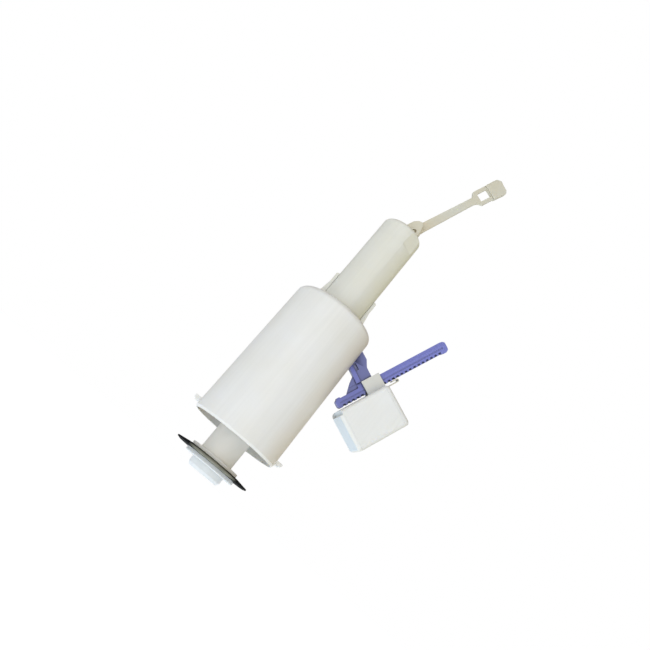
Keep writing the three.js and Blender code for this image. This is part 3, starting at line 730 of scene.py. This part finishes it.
# ---------------------------------------------------------------- part-flush lever, about its pin
def rail_outline(toothed, recess=0.0):
    """The rail's outline, with the rack's gaps cut in or left full."""
    inner, outer = RAIL["x"] - RAIL["half"], RAIL["x"] + RAIL["half"] - recess
    low, top, deep = RAIL["low"], RAIL["high"], RACK["depth"]
    step, thin = RAIL["narrow_z"], inner + RAIL["narrow"]
    teeth = []
    slant, bend = RACK["slant"], 0.15
    for k in range(RACK["count"] if toothed else 0):
        z = RACK["first"] + k * RACK["pitch"]
        end = z + RACK["gap"]
        teeth += [(outer, z, bend), (outer - deep, z + slant, bend), (outer - deep, end - slant, bend),
                  (outer, end, bend)]
    return rounded([
        (thin + 1.2, low, 0.8), (outer - 1.4, low, 0.8), (outer, low + 1.4, 0.8), *teeth,
        (outer + 0.5, top - 6, 1), (outer + 0.9, top - 3, 1), (outer - 0.4, top - 0.5, 1),
        (outer - 2.5, top, 1), (inner + 1.6, top, 0.6), (inner + 0.4, top - 1.4, 0.6),
        (inner, top - 3.8, 1), (inner, step + RAIL["narrow"], 1), (thin, step, 1),
        (thin, low + 5, 0.2), (thin - 0.9, low + 4.4, 0.4), (thin - 0.9, low + 2.2, 0.4),
        (thin, low + 1.4, 0.3),
    ], steps=3)


def lever_shape():
    """Hub, catch, thin web with a pocket, rib, and the toothed rail with its sloped band and groove."""
    inner, thick = RAIL["x"] - RAIL["half"], RAIL["thick"]
    foot = inner + RAIL["narrow"] + 0.8
    tip, low, high = TOOTH["tip"], TOOTH["low"], TOOTH["high"]
    catch = [(-4.6, low - 0.5), (tip, low), (tip, high), (-4, high + 0.4)]
    web = plate(rounded([
        (foot, WEB_FOOT[0], 0), *WEB_LOWER_EDGE, (-HUB["r"], 0, 0), *catch, *WEB_UPPER_EDGE,
        (foot, WEB_FOOT[1], 0),
    ]), WEB["half"], 0.25)
    rib = plate(rounded([
        *RIB_LOWER_EDGE, (foot, RIB_FOOT[0], 0), (foot, RIB_FOOT[1], 0), *RIB_UPPER_EDGE,
    ]), WEB["rib"], 0.5)
    rail = plate(rail_outline(True), thick, 0.4)
    spine = plate(rail_outline(False, RACK["recess"]), RACK["spine"])
    tooth = plate(rounded(catch, 0.4), WEB["rib"], 0.4)
    pocket = block((POCKET["near"], POCKET["far"]), (-5, POCKET["floor"]),
                   (POCKET["low"], POCKET["high"]), 0.2)
    tools = [pin(PIN_HOLE, THROUGH, 0, 0), pocket]
    middle = RAIL["x"] + GROOVE["shift"]
    for side in (1, -1):
        slope = [(inner - 2, side * SLOPE["sunk"]), (inner + SLOPE["width"], side * (thick + 0.25)),
                 (inner - 2, side * 4)]
        tools.append(column(slope, RAIL["low"] - 2, RAIL["high"] + 2))
        depths = sorted((side * (thick - GROOVE["depth"]), side * 5))
        tools.append(block((middle - GROOVE["half"], middle + GROOVE["half"]), depths,
                           (RAIL["low"] + GROOVE["low"], RAIL["high"] - GROOVE["high"])))
    whole = combined("UNION", web, rib, rail, spine, tooth, pin(HUB["r"], HUB["half"], 0, 0))
    return combined("DIFFERENCE", whole, *tools)


def cup_box(inset, low, high, radius, steps=6):
    """The small float's outer form, or with an inset its hollow, between two heights."""
    x, width, depth = CUP["x"], CUP["width"], CUP["depth"]
    return block((x + inset, x + width - inset), (inset - depth, depth - inset), (low, high), radius, steps)


def cup_slab(low, high):
    """Everything of the small float between two heights."""
    return block((CUP["x"] - 9, CUP["x"] + CUP["width"] + 9), (-30, 30), (low, high))


def float_shape():
    """The small float's box: a fine step and a notch low down, and the clip that rides on the rail."""
    x, low, wall, bend, depth = (CUP[k] for k in ("x", "low", "wall", "round", "depth"))
    top = low + CUP["length"]
    seat = top - LID["thick"] - FINE_GAP
    outer = cup_box(0, low, top, bend)
    sunk = STEP["depth"]
    step = combined("DIFFERENCE", cup_slab(low + STEP["low"], low + STEP["high"]),
                    cup_box(sunk, low - 12, low + 12, bend - sunk))
    notch = block((x - 1, x + NOTCH["width"]), (-depth - 1, depth - wall),
                  (low - 1, low + NOTCH["height"]), 0.6)
    cup = combined("DIFFERENCE", outer, cup_box(wall, low + 5, top + 9, bend - wall), cup_slab(seat, top + 9),
                   step, notch)
    inner, face = RAIL["x"] - RAIL["half"] - GAP, RAIL["thick"] + GAP
    hook = inner - CLIP["lip"]
    arms = []
    for side in (1, -1):
        outer_face = side * (face + CLIP["arm"])
        across = sorted((side * face, outer_face))
        arms.append(block((hook, x + 0.8), across, (CLIP["low"], seat), 0.25))
        arms.append(block((hook, x - FINE_GAP), across, (CLIP["low"], CLIP["high"]), 0.25))
        across = sorted((outer_face, side * CLIP["hook"]))
        arms.append(block((hook, inner), across, (CLIP["lip_low"], CLIP["high"]), 0.25))
    return combined("UNION", cup, *arms)


def lid_shape():
    """The lid in the float's mouth, with the plug that locates it."""
    low, wall, bend = CUP["low"], CUP["wall"], CUP["round"]
    top = low + CUP["length"]
    seat = top - LID["thick"]
    inset = wall + GAP
    cover = combined("DIFFERENCE", cup_box(0, low, top, bend), cup_slab(low - 9, seat))
    plug = combined("DIFFERENCE", cup_box(inset, low, seat + 1, 1), cup_slab(low - 9, seat - LID["plug"]),
                    cup_box(inset + LID["wall"], low, seat + 0.4, 0.3))
    return combined("UNION", cover, plug)


def latch_shape():
    """The springy hairpin beside the clip, from a foot on the lid's edge."""
    leg, turn, thick = LATCH["x"], LATCH["turn"], LATCH["thick"]
    foot = CUP["low"] + CUP["length"] + GAP
    bend_x, bend_z = leg - turn, foot + LATCH["reach"] - turn
    tip = bend_z - LATCH["back"]
    return plate(rounded([
        (leg + 4, foot, 0.2), (leg + 4, foot + 1, 0.4), (leg, foot + 2.4, 1.0),
        *arc(bend_x, bend_z, turn, 0, 180, 12), (bend_x - turn, tip, 0.3), (bend_x - turn + thick, tip, 0.3),
        *arc(bend_x, bend_z, turn - thick, 180, 0, 8), (leg - thick, foot, 0.2),
    ]), LATCH["half"], 0.2)


piece("bell_housing", bell_shape())
piece("neck_guide", guide_shape())
piece("lever_bracket", bracket_shape())
piece("lever_pin", pin(PIN_R, LEVER_PIN_HIGH.y, LEVER_PIVOT.x, LEVER_PIVOT.z))
piece("valve_tube", tube_shape())
piece("seal_washer", washer_shape())
piece("clamp_disc", disc_shape())
piece("retainer_nut", nut_shape())
piece("inner_float", inner_float_shape())
piece("float_lock_ring", lock_ring_shape())
piece("riser_tube", riser_shape())
piece("joint_seal", seal_ring_shape())
piece("catch_collar", collar_shape())
piece("top_cap", cap_shape())
piece("rod_pin", pin(PIN_R, ROD_PIN_HIGH.y - CAP_PIN_SHORT, ROD_PIVOT.x, ROD_PIVOT.z))
piece("pull_rod", rod_shape(), ROD_PLACE)
piece("rod_end_tab", tab_shape(), ROD_PLACE)
piece("float_lever", lever_shape(), LEVER_PLACE)
piece("small_float", float_shape(), LEVER_PLACE)
piece("float_lid", lid_shape(), LEVER_PLACE)
piece("latch_finger", latch_shape(), LEVER_PLACE)


# ---------------------------------------------------------------- studio
def pale_floor(height, half):
    """A pale floor that glows a little, like a light table."""
    shape = column([(-half, -half), (half, -half), (half, half), (-half, half)], height - 0.01, height)
    mesh = bpy.data.meshes.new("studio_floor")
    shape.to_mesh(mesh)
    shape.free()
    floor = bpy.data.objects.new("studio_floor", mesh)
    bpy.context.scene.collection.objects.link(floor)
    material = bpy.data.materials.new("studio_floor")
    material.use_nodes = True
    shader = material.node_tree.nodes["Principled BSDF"]
    shader.inputs["Base Color"].default_value = (0.95, 0.95, 0.95, 1)
    shader.inputs["Roughness"].default_value = 0.9
    shader.inputs["Emission Color"].default_value = (0.9, 1.0, 1.1, 1)
    shader.inputs["Emission Strength"].default_value = 0.68
    mesh.materials.append(material)


def studio_world(cool, warm, strength):
    """White behind the object; its light is cooler from -X and warmer from +X."""
    world = bpy.data.worlds.new("studio")
    bpy.context.scene.world = world
    world.use_nodes = True
    tree = world.node_tree
    way = add(tree, "ShaderNodeSeparateXYZ", {0: add(tree, "ShaderNodeTexCoord").outputs["Generated"]})
    side = ranged(tree, way.outputs["X"], -0.9, 0.9, 0.0, 1.0)
    lit = mixed(tree, side, rgba(Vector(cool) * strength), rgba(Vector(warm) * strength))
    seen = add(tree, "ShaderNodeLightPath").outputs["Is Camera Ray"]
    colour = mixed(tree, seen, lit, (1, 1, 1, 1))
    ground = tree.nodes["Background"]
    tree.links.new(colour, ground.inputs["Color"])
    ground.inputs["Strength"].default_value = 1.0


def soft_light(name, way, distance, size, watts, colour, target):
    """A square area light at a distance from the target, facing it."""
    data = bpy.data.lights.new(name, "AREA")
    data.shape = "SQUARE"
    data.size = size
    data.energy = watts
    data.color = colour
    lamp = bpy.data.objects.new(name, data)
    bpy.context.scene.collection.objects.link(lamp)
    away = Vector(way).normalized()
    lamp.location = target + away * distance
    lamp.rotation_euler = away.to_track_quat("Z", "Y").to_euler()


def main_camera(place, rise, roll):
    """Looks along +Y, turned up by rise, then rolled so that the valve leans over to the right."""
    up = Vector((0, -math.sin(rise), math.cos(rise)))
    ahead = Vector((0, math.cos(rise), math.sin(rise)))
    right_axis = up * math.cos(roll) + Vector((1, 0, 0)) * math.sin(roll)
    up_axis = up * math.sin(roll) - Vector((1, 0, 0)) * math.cos(roll)
    data = bpy.data.cameras.new("main_camera")
    data.sensor_width = 36
    data.lens = 36
    data.clip_start = 0.01
    data.clip_end = 50
    camera = bpy.data.objects.new("main_camera", data)
    bpy.context.scene.collection.objects.link(camera)
    turn = Matrix((right_axis, up_axis, -ahead)).transposed().to_4x4()
    camera.matrix_world = Matrix.Translation(place) @ turn
    bpy.context.scene.camera = camera


middle = (cad_box[0] + cad_box[1]) / 2
pale_floor(height=cad_box[0].z - 0.006, half=3.0)
studio_world(cool=(0.76, 0.77, 0.80), warm=(0.50, 0.42, 0.26), strength=0.62)
soft_light("key", way=(-0.16, -1.0, 0.2), distance=1.2, size=1.6, watts=7.0, colour=(0.99, 1.0, 1.01),
           target=middle)
main_camera(place=(-0.0008, -0.4827, -0.0113), rise=math.radians(16.8), roll=math.radians(50.2))
bpy.context.scene.view_settings.view_transform = "Standard"
bpy.context.scene.view_settings.look = "None"

bpy.context.view_layer.update()
